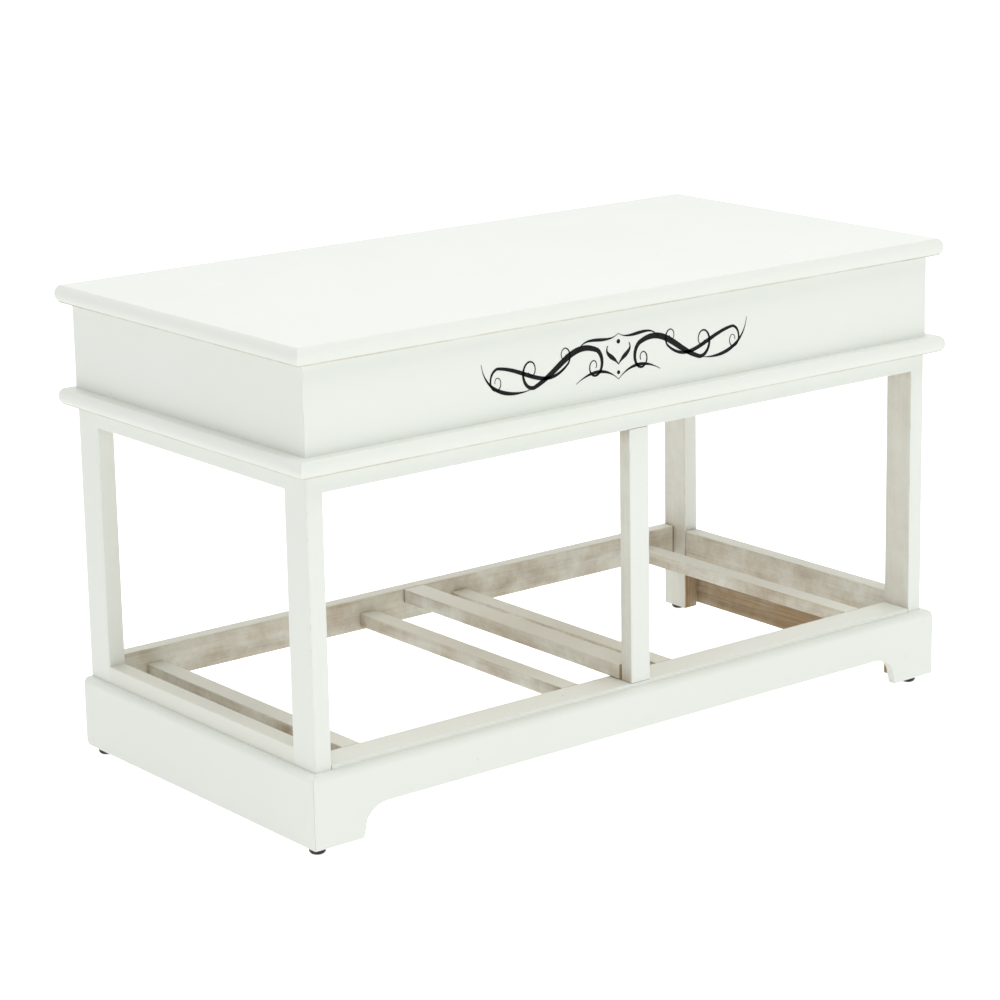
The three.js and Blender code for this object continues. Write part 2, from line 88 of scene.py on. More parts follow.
MITRE_ROOM = 12.0  # a plinth board has no ring nearer than this to its mitre
SEAM = 0.02  # what paint leaves open along the plinth and under the chest
SEAT = {"clear": 0.3, "head": 1.8, "past_axis": 3.0, "past_edge": 1.0, "corner": 0.05}
SHARP = math.radians(30)  # edges of the seats that turn more than this stay sharp
KNUCKLE = 3.5  # radius
STAY = {"angle": 16.0, "near_screw": 44.0, "far_screw": 228.9, "web": 0.8}


# ==== outlines
def arc_steps(radius):
    """Steps of a quarter arc: few on an eased edge, many on a round one."""
    return 4 if radius < ROUND else 14


def eased_outline(corners):
    """Points (u, v, edge) round a convex outline of corners (u, v, radius). edge is 1 in the middle of an
    eased edge."""
    points = []
    count = len(corners)
    for i, (u, v, radius) in enumerate(corners):
        here = Vector((u, v))
        before = (Vector(corners[i - 1][:2]) - here).normalized()
        after = (Vector(corners[(i + 1) % count][:2]) - here).normalized()
        half = before.angle(after) / 2
        reach = radius / math.tan(half)
        centre = here + (before + after).normalized() * (radius / math.sin(half))
        start = here + before * reach - centre
        end = here + after * reach - centre
        steps = arc_steps(radius)
        turn = start.angle_signed(end)
        for k in range(steps + 1):
            spoke = start.copy()
            spoke.rotate(Matrix.Rotation(-turn * k / steps, 2))
            edge = math.sin(math.pi * k / steps) if radius < ROUND else 0.0
            points.append((centre.x + spoke.x, centre.y + spoke.y, edge))
    return points


def rectangle(u0, v0, u1, v1, radius=EASE):
    return eased_outline([(u0, v0, radius), (u1, v0, radius), (u1, v1, radius), (u0, v1, radius)])


def inset(outline, amount):
    """The outline moved inwards by amount, point by point."""
    centre_u = sum(p[0] for p in outline) / len(outline)
    centre_v = sum(p[1] for p in outline) / len(outline)
    moved = []
    for i, (u, v, edge) in enumerate(outline):
        u0, v0 = outline[i - 1][:2]
        u1, v1 = outline[(i + 1) % len(outline)][:2]
        normal = Vector((v0 - v1, u1 - u0)).normalized()
        if normal.dot(Vector((centre_u - u, centre_v - v))) < 0:
            normal.negate()
        moved.append((u + normal.x * amount, v + normal.y * amount, edge))
    return moved


def nose_profile(thickness):
    """Points (depth, height, edge) of a board's flat arc with sanded arrises, from its lower face up."""
    half = thickness / 2
    radius = (half**2 + NOSE**2) / (2 * NOSE)
    limit = math.asin(half / radius)
    last = limit - ARRIS / radius

    def on_arc(angle):
        return radius * (1 - math.cos(angle)), half + radius * math.sin(angle)

    def sanded(height, angle):
        corner = Vector((NOSE, height))
        flat = Vector((NOSE + ARRIS, height))
        middle = (flat + corner * 2 + Vector(on_arc(angle))) / 4
        return [(*flat, 0.5), (*middle, 1.0)]

    arc = [(*on_arc(last * (2 * k / NOSE_STEPS - 1)), 0.0) for k in range(NOSE_STEPS + 1)]
    return sanded(0.0, -last) + arc + sanded(thickness, last)[::-1]


# ==== meshes
PLACE = {
    "x": lambda t, u, v: (t, u, v),
    "y": lambda t, u, v: (u, t, v),
    "z": lambda t, u, v: (u, v, t),
}


def value_at(limit, u, v):
    return limit(u, v) if callable(limit) else limit


def stations(first, last):
    """Even places between first and last, both left out."""
    count = max(2, round((last - first) / STATION))
    return [first + (last - first) * k / count for k in range(1, count)]


def sweep(axis, outline, start, end, between, ease=CRISP, lift=None):
    """Rings of (x, y, z, edge) in millimetres along an axis. start and end are places, or functions of
    (u, v) at a mitre; between lists the middle rings' places; lift changes v along the board, as for an
    arch."""
    shape = PLACE[axis]
    small = inset(outline, ease)
    cap, rim = END_EDGE if ease > MITRE_EASE else (0.0, 0.0)
    plans = [(small, start, 0.0, cap), (outline, start, ease, rim)]
    plans += [(outline, place, 0.0, 0.0) for place in between]
    plans += [(outline, end, -ease, rim), (small, end, 0.0, cap)]
    rings = []
    for points, limit, shift, end_edge in plans:
        ring = []
        for u, v, edge in points:
            t = value_at(limit, u, v) + shift
            height = lift(t, u, v) if lift else v
            ring.append((*shape(t, u, height), max(edge, end_edge)))
        rings.append(ring)
    return rings


def ring_faces(ring_count, per_ring):
    faces = []
    for r in range(ring_count - 1):
        for k in range(per_ring):
            a = r * per_ring + k
            b = r * per_ring + (k + 1) % per_ring
            faces.append((a, b, b + per_ring, a + per_ring))
    return faces


def loft(name, rings):
    """One closed mesh through rings of equally many points (x, y, z, edge) in millimetres, with caps."""
    per_ring = len(rings[0])
    points = [p for ring in rings for p in ring]
    faces = ring_faces(len(rings), per_ring)
    faces.append(tuple(range(per_ring)))
    faces.append(tuple(range(len(points) - per_ring, len(points))))
    return mesh_object(name, points, faces)


def mesh_object(name, points, faces):
    mesh = bpy.data.meshes.new(name)
    mesh.from_pydata([Vector(p[:3]) * MM for p in points], [], faces)
    edge = mesh.attributes.new("edge", "FLOAT", "POINT")
    edge.data.foreach_set("value", [p[3] if len(p) > 3 else 0.0 for p in points])
    obj = bpy.data.objects.new(name, mesh)
    bpy.context.scene.collection.objects.link(obj)
    face_outwards(mesh)
    mesh.polygons.foreach_set("use_smooth", [True] * len(mesh.polygons))
    return obj


def face_outwards(mesh):
    work = bmesh.new()
    work.from_mesh(mesh)
    bmesh.ops.recalc_face_normals(work, faces=work.faces)
    if work.calc_volume(signed=True) < 0:
        bmesh.ops.reverse_faces(work, faces=work.faces)
    work.to_mesh(mesh)
    work.free()


def weight_normals(obj):
    modifier = obj.modifiers.new("flat faces shade flat", "WEIGHTED_NORMAL")
    modifier.weight = 100
    modifier.keep_sharp = True


# ==== how much paint reached a point, and painted shade where the frame shuts it in
def frame_tree():
    """All solids of the CAD frame, for rays."""
    vertices = []
    polygons = []
    for node in frame["nodes"].values():
        first = len(vertices)
        vertices += [v.co.copy() for v in node.data.vertices]
        polygons += [tuple(first + i for i in p.vertices) for p in node.data.polygons]
    return BVHTree.FromPolygons(vertices, polygons)


FRAME_TREE = frame_tree()
RAYS = 20
RAY_REACH = 80 * MM
RAY_START = 0.9 * MM
RAY_FADE = 0.6  # how much less a hit counts at full reach
GOLDEN_ANGLE = math.pi * (3 - math.sqrt(5))


def hemisphere():
    """Unit directions round +Z, thicker towards the pole as light and spray are."""
    directions = []
    for i in range(RAYS):
        share = (i + 0.5) / RAYS
        radius = math.sqrt(share)
        turn = GOLDEN_ANGLE * i
        directions.append(Vector((radius * math.cos(turn), radius * math.sin(turn), math.sqrt(1 - share))))
    return directions


DIRECTIONS = hemisphere()


def nook_shade(point, normal):
    """0 in the open, 1 where the frame shuts a point in. It darkens the colour there: painted shade in nooks,
    which also stands for thinner spray.
    """
    turn = normal.to_track_quat("Z", "Y")
    origin = point + normal * RAY_START
    shut = 0.0
    for direction in DIRECTIONS:
        distance = FRAME_TREE.ray_cast(origin, turn @ direction, RAY_REACH)[3]
        if distance is not None:
            shut += 1 - RAY_FADE * distance / RAY_REACH
    return shut / RAYS


def record_paint_and_shade(obj, reach=None):
    """Writes the attribute thin: how little paint each point got, with painted shade where it is shut in.
    reach(point, normal, thin) changes it.
    """
    mesh = obj.data
    values = []
    for vertex in mesh.vertices:
        # painted shade: how shut in a point is darkens its colour, as well as thinning its paint
        thin = nook_shade(vertex.co, vertex.normal)
        if reach:
            thin = reach(vertex.co / MM, vertex.normal, thin)
        values.append(thin)
    attribute = mesh.attributes.new("thin", "FLOAT", "POINT")
    attribute.data.foreach_set("value", values)


UNPAINTED = 1.6  # thinness where hardly any paint got
WASH_FACES = {"top": 0.1, "side": 0.46}
TOWARDS = 0.6  # a face looks in a direction when its normal reaches this far along it
LOWER_ARRIS_SHADOW = 1.05  # thinness along the lower edge of the lid and the moulding: a painted shadow line under them
SHADOW_LINE_HEIGHT = 1.8  # height of that painted shadow line
COVERED = 0.55  # white paint this thin still covers the wood
END_WEAR = 1.6  # length of the bare wood at a washed rail's ends
INNER_FACE_SHADE = 0.80  # thinness on post faces that look along the frame: painted shade inside the frame, and thinner paint
FRONT_FACE_SHADE = 0.55  # and on the rear posts' front faces, also painted shade with thinner paint


def wash_reach(point, normal, thin):
    """A wash stays thick on upper faces and runs thin on the others."""
    if normal.z > TOWARDS:
        return thin * WASH_FACES["top"]
    return max(thin, WASH_FACES["side"])


def side_rail_reach(sign):
    """A side rail is painted white on the outside and washed on the inside."""
    def reach(point, normal, thin):
        if normal.x * sign > TOWARDS / 2:
            return thin * WASH_FACES["top"]
        return wash_reach(point, normal, thin)
    return reach


def centre_post_paint_and_shade(point, normal, thin):
    """The centre post is well painted in front only; its other faces get thinner paint and painted shade."""
    return INNER_FACE_SHADE + thin / 2 if normal.y > -TOWARDS else thin


def covered(point, normal, thin):
    """Paint that covers everywhere."""
    return min(thin, COVERED)


def shadow_line_below(bottom):
    """Paints a shadow line along a lower arris at the height bottom, by letting the wood show through there."""
    def reach(point, normal, thin):
        on_underside = normal.z < -0.97
        on_arris = point.z < bottom + SHADOW_LINE_HEIGHT and not on_underside
        # painted shadow line along the lower arris
        return max(thin, LOWER_ARRIS_SHADOW) if on_arris else covered(point, normal, thin)
    return reach


def worn_ends(inner_reach, along, start, end):
    """Wears a board down to the wood at its two ends, which lie at start and end on the axis along."""
    def reach(point, normal, thin):
        from_end = min(point[along] - start, end - point[along])
        return UNPAINTED if from_end < END_WEAR / 2 else inner_reach(point, normal, thin)
    return reach


def bare_towards(direction):
    """Leaves the faces unpainted that look in a direction."""
    def reach(point, normal, thin):
        return UNPAINTED if normal.dot(direction) > TOWARDS else thin
    return reach


def sand(obj):
    """Lets the flats wander by up to WAVE, as hand-sanded wood does."""
    seed = Vector((len(obj.name) * 3.7, ord(obj.name[-1]) * 1.3, 0.0))
    for vertex in obj.data.vertices:
        where = vertex.co * 14 + seed
        vertex.co += vertex.normal * (noise.noise(where) * WAVE * MM)


# ==== materials
class Shader:
    """A new material's node tree with short calls to add and join nodes."""

    def __init__(self, name):
        self.material = bpy.data.materials.new(name)
        self.material.use_nodes = True
        self.tree = self.material.node_tree
        self.bsdf = self.tree.nodes["Principled BSDF"]

    def add(self, kind, links=None, **values):
        node = self.tree.nodes.new("ShaderNode" + kind)
        for key, value in values.items():
            if hasattr(node, key):
                setattr(node, key, value)
            else:
                node.inputs[key.replace("_", " ")].default_value = value
        for socket, source in (links or {}).items():
            self.tree.links.new(source, node.inputs[socket])
        return node

    def out(self, kind, links=None, socket=0, **values):
        return self.add(kind, links, **values).outputs[socket]

    def math(self, operation, a, b=None, clamp=False):
        node = self.add("Math", operation=operation, use_clamp=clamp)
        for socket, value in zip(node.inputs, (a, b)):
            if value is None:
                continue
            if isinstance(value, (int, float)):
                socket.default_value = value
            else:
                self.tree.links.new(value, socket)
        return node.outputs[0]

    def total(self, *terms):
        """The sum of sockets and numbers. A pair (socket, share) counts as their product."""
        parts = [self.math("MULTIPLY", *term) if isinstance(term, tuple) else term for term in terms]
        result = parts[0]
        for part in parts[1:]:
            result = self.math("ADD", result, part)
        return result

    def blend(self, share, a, b):
        """Colour a where share is 0, b where it is 1. a, b and share are sockets or values."""
        node = self.add("Mix", data_type="RGBA", blend_type="MIX")
        for socket, value in ((node.inputs[0], share), (node.inputs[6], a), (node.inputs[7], b)):
            if isinstance(value, bpy.types.NodeSocket):
                self.tree.links.new(value, socket)
            else:
                socket.default_value = value
        return node.outputs[2]

    def ramp(self, source, *stops):
        node = self.add("ValToRGB", {"Fac": source})
        elements = node.color_ramp.elements
        while len(elements) < len(stops):
            elements.new(0.5)
        for element, (place, colour) in zip(elements, stops):
            element.position = place
            element.color = (*colour, 1.0) if hasattr(colour, "__len__") else (colour, colour, colour, 1.0)
        return node.outputs[0]

    def noise(self, coordinates, scale, detail=3.0, roughness=0.5, distortion=0.0):
        return self.out("TexNoise", {"Vector": coordinates}, Scale=scale, Detail=detail,
                        Roughness=roughness, Distortion=distortion)

    def link(self, source, socket):
        self.tree.links.new(source, self.bsdf.inputs[socket])

    def bump(self, height, strength, depth):
        """Roughens the surface by a height of depth millimetres."""
        self.link(self.out("Bump", {"Height": height}, Strength=strength, Distance=depth * MM), "Normal")


def grain_coordinates(shader, axis, along, across):
    """Object coordinates drawn out along the grain."""
    scale = [across, across, across]
    scale["xyz".index(axis)] = along
    place = shader.out("TexCoord", socket=3)
    return shader.out("Mapping", {"Vector": place}, Scale=scale)


def painted_wood(name, axis, paint, cover, blotches, streaks, thin_from, rub, roughness):
    """White paint over brown wood with its grain along axis. cover is the paint's hold in the open. It
    loses as much as the thinness is above thin_from, and blotches and streaks vary it there. Because the
    thinness carries painted shade, this also darkens shut-in places and inner faces. rub is what it loses on
    edges."""
    shader = Shader(name)
    place = shader.out("TexCoord", socket=3)
    fibres = shader.noise(grain_coordinates(shader, axis, 9.0, 420.0), 1.0, 5.0, 0.62)
    figure = shader.noise(grain_coordinates(shader, axis, 3.0, 46.0), 1.0, 4.0, 0.55, 0.9)
    grain = shader.total((fibres, 0.5), (figure, 0.5))
    wood = shader.ramp(grain, (0.34, (0.25, 0.165, 0.092)), (0.52, (0.41, 0.300, 0.180)),
                       (0.68, (0.53, 0.410, 0.268)))

    cloud = shader.noise(place, 17.0, 8.0, 0.7)
    smear = shader.noise(grain_coordinates(shader, axis, 12.0, 60.0), 1.0, 3.0, 0.6, 0.4)
    thin = shader.out("Attribute", socket=2, attribute_name="thin")
    edge = shader.out("Attribute", socket=2, attribute_name="edge")
    # thinness above thin_from shows the wood: thinner paint, and painted shade in nooks and on inner faces
    thin_and_shade = shader.math("MAXIMUM", shader.total(thin, -thin_from), 0.0)
    swing = shader.math("MINIMUM", shader.math("MULTIPLY", thin_and_shade, 2.0), 1.0)
    uneven = shader.total((shader.total(cloud, -0.5), blotches),
                          (shader.total(smear, -0.5), blotches * 0.4),
                          (shader.total(fibres, -0.55), streaks))
    specks = shader.ramp(shader.noise(place, 150.0, 2.0), (0.765, 0.0), (0.80, 0.45))
    nibbled = shader.ramp(shader.noise(place, 70.0, 3.0), (0.52, 0.0), (0.70, 1.0))
    rubbed = shader.math("MULTIPLY", shader.math("MULTIPLY", nibbled, edge), rub)
    lost = shader.total(thin_and_shade, specks, rubbed)
    hold = shader.math("SUBTRACT", shader.total(cover, (uneven, swing)), lost, clamp=True)

    tone = shader.noise(place, 5.0, 2.0)
    dull = tuple(c * 0.975 for c in paint)
    coat = shader.blend(tone, (*paint, 1.0), (dull[0] * 0.992, dull[1], dull[2] * 0.985, 1.0))
    shader.link(shader.blend(hold, wood, coat), "Base Color")

    rough = shader.total(1.0, (hold, roughness - 1.0), (shader.total(cloud, -0.5), 0.16))
    shader.link(shader.math("MINIMUM", rough, 0.85), "Roughness")
    brush = shader.noise(grain_coordinates(shader, axis, 16.0, 900.0), 1.0, 2.0)
    shader.bump(shader.total((fibres, 0.6), (brush, 0.4)), 0.22, 0.12)
    return shader.material


PAINT = (0.815, 0.842, 0.795)
WASH = (0.80, 0.81, 0.745)


def white_paint(axis):
    return painted_wood(f"white_paint_{axis}", axis, PAINT, cover=1.08, blotches=1.0, streaks=0.12,
                        thin_from=COVERED, rub=0.25, roughness=0.42)


def washed_wood(axis):
    return painted_wood(f"washed_wood_{axis}", axis, WASH, cover=1.02, blotches=2.8, streaks=0.4,
                        thin_from=0.12, rub=0.2, roughness=0.55)


def plywood():
    shader = Shader("chest_floor_board")
    fibres = shader.noise(grain_coordinates(shader, "x", 7.0, 380.0), 1.0, 5.0, 0.6)
    figure = shader.noise(grain_coordinates(shader, "x", 1.6, 17.0), 1.0, 4.0, 0.5, 1.6)
    grain = shader.total((fibres, 0.4), (figure, 0.6))
    shader.link(shader.ramp(grain, (0.36, (0.36, 0.245, 0.13)), (0.5, (0.52, 0.38, 0.225)),
                            (0.66, (0.64, 0.50, 0.32))), "Base Color")
    shader.link(shader.total((fibres, 0.2), 0.5), "Roughness")
    shader.bump(fibres, 0.3, 0.1)
    return shader.material


def zinc_steel():
    shader = Shader("zinc_steel")
    place = shader.out("TexCoord", socket=3)
    cloud = shader.noise(place, 60.0, 4.0, 0.6)
    scratches = shader.noise(grain_coordinates(shader, "y", 90.0, 2600.0), 1.0, 2.0)
    shader.link(shader.ramp(cloud, (0.35, (0.50, 0.50, 0.48)), (0.65, (0.66, 0.655, 0.62))), "Base Color")
    shader.bsdf.inputs["Metallic"].default_value = 1.0
    shader.link(shader.total((cloud, 0.22), (scratches, 0.12), 0.14), "Roughness")
    shader.bump(scratches, 0.15, 0.03)
    return shader.material


def glide_plastic():
    shader = Shader("glide_plastic")
    place = shader.out("TexCoord", socket=3)
    grit = shader.noise(place, 1500.0, 2.0)
    dust = shader.ramp(shader.noise(place, 120.0, 3.0), (0.4, (0.010, 0.010, 0.011)),
                       (0.75, (0.022, 0.021, 0.020)))
    shader.link(dust, "Base Color")
    shader.link(shader.total((grit, 0.2), 0.3), "Roughness")
    shader.bump(grit, 0.3, 0.05)
    return shader.material


def black_print():
    """Screen-printed black, almost even."""
    shader = Shader("black_print")
    place = shader.out("TexCoord", socket=3)
    cloud = shader.noise(place, 240.0, 3.0)
    ink = shader.ramp(cloud, (0.3, (0.004, 0.004, 0.005)), (0.8, (0.009, 0.009, 0.010)))
    shader.link(ink, "Base Color")
    shader.link(shader.total((cloud, 0.2), 0.55), "Roughness")
    shader.bsdf.inputs["Specular IOR Level"].default_value = 0.2
    shader.bump(cloud, 0.15, 0.05)
    return shader.material


WHITE = {axis: white_paint(axis) for axis in "xyz"}
WASHED = {axis: washed_wood(axis) for axis in "xyz"}
PLYWOOD = plywood()
STEEL = zinc_steel()
PLASTIC = glide_plastic()
PRINT = black_print()


# ==== boards, posts and glides
def corners_mm(node):
    """A node's lowest and highest corner in millimetres."""
    low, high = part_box(node)
    return low / MM, high / MM


def stand_for(obj, node, material):
    obj.data.materials.append(material)
    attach(obj, BODY_OF[node])
    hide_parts(node)
    return obj


def finished(node):
    """The name of the finished piece that stands for a node."""
    return f"finished_{node}"


def finish_wood(obj, node, material, reach=None):
    record_paint_and_shade(obj, reach)
    sand(obj)
    weight_normals(obj)
    return stand_for(obj, node, material)


def plain_board(node, axis, material, ease=EASE, fill=(0.0, 0.0), reach=None, worn=False):
    """A straight board of a node's size. fill closes the joint lines at its two ends by that much, or opens
    them; worn bares the wood at the ends."""
    low, high = corners_mm(node)
    others = [i for i in range(3) if "xyz"[i] != axis]
    along = "xyz".index(axis)
    outline = rectangle(low[others[0]], low[others[1]], high[others[0]], high[others[1]], ease)
    start, end = low[along] - fill[0], high[along] + fill[1]
    between = stations(start + 1, end - 1)
    if worn:
        between = [start + END_WEAR] + between + [end - END_WEAR]
        reach = worn_ends(reach, along, start, end)
    rings = sweep(axis, outline, start, end, between, ease=CRISP)
    return finish_wood(loft(finished(node), rings), node, material, reach)


def corner_post(row, side):
    """A corner post with the glide's socket in its foot."""
    node = f"post_{row}_{side}"
    low, high = corners_mm(node)
    glide_low, glide_high = corners_mm(f"glide_{row}_{side}")
    centre = (glide_low + glide_high) / 2
    outline = rectangle(low.x, low.y, high.x, high.y)
    rings = sweep("z", outline, low.z, high.z, stations(low.z + 1, high.z - 1))
    hole = []
    for u, v, _ in outline:
        spoke = Vector((u - centre.x, v - centre.y)).normalized() * SOCKET["radius"]
        hole.append((centre.x + spoke.x, centre.y + spoke.y))
    mouth = [(u, v, low.z, 0.0) for u, v in hole]
    bottom = [(u, v, low.z + SOCKET["depth"], 0.0) for u, v in hole]
    inwards = Vector((-SIDES[side], 0 if row == "front" else -1, 0))
    rail_bottom = corners_mm("rail_rear")[0].z

    def reach(point, normal, thin):
        if normal.dot(inwards) < TOWARDS:
            return thin
        # faces looking into the frame: painted shade and thinner paint above the rails, bare wood below
        if abs(normal.x) > TOWARDS and (row == "rear" or point.z > rail_bottom):
            return INNER_FACE_SHADE + thin / 2
        return FRONT_FACE_SHADE + thin / 2 if point.z > rail_bottom else UNPAINTED

    obj = loft(finished(node), [bottom, mouth] + rings)
    return finish_wood(obj, node, WHITE["z"], reach)


def glide(row, side):
    """A round glide: small flat foot, domed rim, a step under the post and its stem."""
    node = f"glide_{row}_{side}"
    low, high = corners_mm(node)
    centre = (low + high) / 2
    radius = (high.x - low.x) / 2
    cap_top = corners_mm(f"post_{row}_{side}")[0].z - GAP
    foot = radius - GLIDE_DOME
    edge = STEM["edge"]
    profile = [(foot / 2, low.z), (foot, low.z)]
    profile += arc_profile(foot, low.z + GLIDE_DOME, GLIDE_DOME, -90, 0, 10)
    profile += arc_profile(radius - edge, cap_top - edge, edge, 0, 90, 3)
    profile += [(STEM["radius"], cap_top), (STEM["radius"], cap_top + STEM["length"] - edge),
                (STEM["radius"] - edge, cap_top + STEM["length"])]
    obj = loft(finished(node), lathe(profile, centre, 40))
    weight_normals(obj)
    return stand_for(obj, node, PLASTIC)


def arc_profile(centre_r, centre_z, radius, from_degrees, to_degrees, steps):
    points = []
    for k in range(steps + 1):
        a = math.radians(from_degrees + (to_degrees - from_degrees) * k / steps)
        points.append((centre_r + radius * math.cos(a), centre_z + radius * math.sin(a)))
    return points


def lathe(profile, centre, sides):
    """Rings round a vertical axis through centre, one for each (radius, z) of the profile."""
    rings = []
    for radius, z in profile:
        ring = []
        for k in range(sides):
            a = 2 * math.pi * k / sides
            ring.append((centre.x + radius * math.cos(a), centre.y + radius * math.sin(a), z, 0.0))
        rings.append(ring)
    return rings


# ==== plinth
def arch_height(x, base):
    """Height of the front plinth's lower edge at x."""
    foot, flare, flare_top = ARCH["foot"], ARCH["flare"], ARCH["flare_top"]
    reach, rise = ARCH["reach"], ARCH["rise"]
    inside = foot - flare
    x = abs(x)
    if x >= foot:
        return base
    if x >= inside:
        return base + flare_top * (foot - x) / flare
    centre = inside - reach
    if x <= centre:
        return base + flare_top + rise
    return base + flare_top + rise * math.sqrt(max(0.0, 1 - ((x - centre) / reach) ** 2))


def arch_places():
    """Where the arch needs rings, from the foot inwards."""
    foot, inside = ARCH["foot"], ARCH["foot"] - ARCH["flare"]
    centre = inside - ARCH["reach"]
    places = [foot, (foot + inside) / 2, inside]
    places += [centre + ARCH["reach"] * math.cos(math.pi / 2 * k / 12) for k in range(1, 13)]
    return places


def plinth_outline(outer, inner, bottom, top):
    """Section with the outer face at u = outer, its top edge rounded over."""
    corners = [(outer, bottom, 1.0), (outer, top, PLINTH_ROUND), (inner, top, 0.15), (inner, bottom, 0.6)]
    return eased_outline(corners)


def plinth_front():
    low, high = corners_mm("plinth_front")
    inner = corners_mm("post_front_left")[0].y - SEAM
    outline = plinth_outline(low.y, inner, low.z, high.z)

    def lift(x, y, z):
        return z + arch_height(x, low.z) - low.z if z < low.z + PLINTH_EDGE else z

    def left(y, z):
        return low.x + (y - low.y) + MITRE_LINE

    def right(y, z):
        return high.x - (y - low.y) - MITRE_LINE

    half = [-x for x in arch_places()]
    feet = stations(low.x + MITRE_ROOM, -ARCH["foot"])
    middle = stations(half[-1], -half[-1])
    between = feet + half + middle + [-x for x in reversed(half)] + [-x for x in reversed(feet)]
    rings = sweep("x", outline, left, right, between, ease=MITRE_EASE, lift=lift)
    obj = loft(finished("plinth_front"), rings)
    return finish_wood(obj, "plinth_front", WHITE["x"], bare_towards(Vector((0, 1, 0))))


def plinth_side(side):
    node = f"plinth_{side}"
    sign = SIDES[side]
    low, high = corners_mm(node)
    outer = high.x if sign > 0 else low.x
    inner = corners_mm(f"post_front_{side}")[1 if sign > 0 else 0].x + sign * SEAM
    outline = plinth_outline(outer, inner, low.z, high.z)
    heel_start = high.y - PLINTH_HEEL

    def lift(y, x, z):
        if y <= heel_start or z > low.z + PLINTH_EDGE:
            return z
        run = min(1.0, (y - heel_start) / PLINTH_HEEL)
        return z + PLINTH_HEEL * (1 - math.sqrt(1 - run * run))

    corner = corners_mm("plinth_front")[0].y

    def mitre(x, z):
        return corner + abs(outer - x) + MITRE_LINE

    heel = [heel_start + PLINTH_HEEL * math.sin(math.pi / 2 * k / 6) for k in range(6)]
    between = stations(low.y + MITRE_ROOM, heel_start) + heel
    rings = sweep("y", outline, mitre, high.y, between, ease=MITRE_EASE, lift=lift)
    obj = loft(finished(node), rings)
    return finish_wood(obj, node, WHITE["y"], bare_towards(Vector((-sign, 0, 0))))


# ==== mitred frames: moulding and chest
def frame_box(prefix):
    """The lowest and highest corner of a mitred frame."""
    lows, highs = zip(*(corners_mm(f"{prefix}_{side}") for side in FRAME_SIDES))
    return Vector(map(min, *lows)), Vector(map(max, *highs))


def mitred_side(prefix, side, outline_of, box_low, box_high):
    """One side of a mitred frame, with its node and material. outline_of(outer, inwards) gives its section,
    outer being the place of the outer face and inwards +1 or -1."""
    node = f"{prefix}_{side}"
    if side in ("front", "rear"):
        axis, outer, inwards = ("x", box_low.y, 1) if side == "front" else ("x", box_high.y, -1)
        first, last = box_low.x, box_high.x
    else:
        axis, outer, inwards = ("y", box_low.x, 1) if side == "left" else ("y", box_high.x, -1)
        first, last = box_low.y, box_high.y
    outline = outline_of(outer, inwards)
    depth = max(abs(u - outer) for u, _, _ in outline)

    def start(u, v):
        return first + abs(u - outer) + MITRE_LINE

    def end(u, v):
        return last - abs(u - outer) - MITRE_LINE

    between = stations(first + depth - 3, last - depth + 3)
    rings = sweep(axis, outline, start, end, between, ease=MITRE_EASE)
    return loft(finished(node), rings), node, WHITE[axis]


def moulding():
    low, high = frame_box("moulding")
    profile = nose_profile(high.z - low.z)

    def outline_of(outer, inwards):
        nose = [(outer + inwards * depth, low.z + height, edge) for depth, height, edge in profile]
        inner = outer + inwards * MOULDING_RAIL
        back = inner - inwards * ARRIS
        return nose + [(back, high.z, 0.0), (inner, high.z - ARRIS, 0.0),
                       (inner, low.z + ARRIS, 0.0), (back, low.z, 0.0)]

    for side in FRAME_SIDES:
        finish_wood(*mitred_side("moulding", side, outline_of, low, high), shadow_line_below(low.z))


def chest():
    low, high = frame_box("chest")

    def outline_of(outer, inwards):
        inner = outer + inwards * CHEST_BOARD
        foot = low.z - GAP + SEAM
        return eased_outline([(outer, foot, 0.1), (outer, high.z, 1.0),
                              (inner, high.z, 1.0), (inner, foot, 0.1)])

    for side in FRAME_SIDES:
        obj, node, material = mitred_side("chest", side, outline_of, low, high)
        record_paint_and_shade(obj, covered)
        sand(obj)
        if side == "rear":
            cut_hinge_seats(obj, "fixed")
            obj.data.set_sharp_from_angle(angle=SHARP)
        weight_normals(obj)
        stand_for(obj, node, material)


# ==== lid and hinge seats
def cut(obj, cutter):
    """Takes the cutter's shape out of obj and removes the cutter."""
    modifier = obj.modifiers.new("cut", "BOOLEAN")
    modifier.operation = "DIFFERENCE"
    modifier.solver = "EXACT"
    modifier.object = cutter
    graph = bpy.context.evaluated_depsgraph_get()
    mesh = bpy.data.meshes.new_from_object(obj.evaluated_get(graph))
    obj.modifiers.clear()
    obj.data = mesh
    bpy.data.objects.remove(cutter)


def cut_hinge_seats(obj, leaf):
    """Lets both hinges into a board: pockets for the leaves and room for the knuckles."""
    for side in SIDES:
        low, high = corners_mm(f"hinge_leaf_{leaf}_{side}")
        pin_low, pin_high = corners_mm(f"hinge_pin_{side}")
        axis = (pin_low + pin_high) / 2
        screw_low, screw_high = corners_mm(f"screw_{leaf}_{side}_1")
        if leaf == "fixed":
            x0, x1 = low.x - SEAT["clear"], high.x + SEAT["clear"]
            z0, z1 = screw_high.z - SEAT["head"], axis.z + SEAT["past_axis"]
            rear = axis.y
        else:
            x0, x1 = pin_low.x - SEAT["clear"], pin_high.x + SEAT["clear"]
            z0, z1 = axis.z - SEAT["past_axis"], screw_low.z + SEAT["head"]
            rear = corners_mm("lid_panel")[1].y + SEAT["past_edge"]
        outline = rectangle(low.y - SEAT["clear"], z0, rear, z1, SEAT["corner"])
        cut(obj, loft("pocket", sweep("x", outline, x0, x1, [], ease=0.02)))
        barrel = [(x, KNUCKLE + SEAT["clear"]) for x in (x0, x1)]
        cut(obj, loft("barrel", turned_rings(barrel, 24, (0, axis.y, axis.z), (1, 0, 0))))


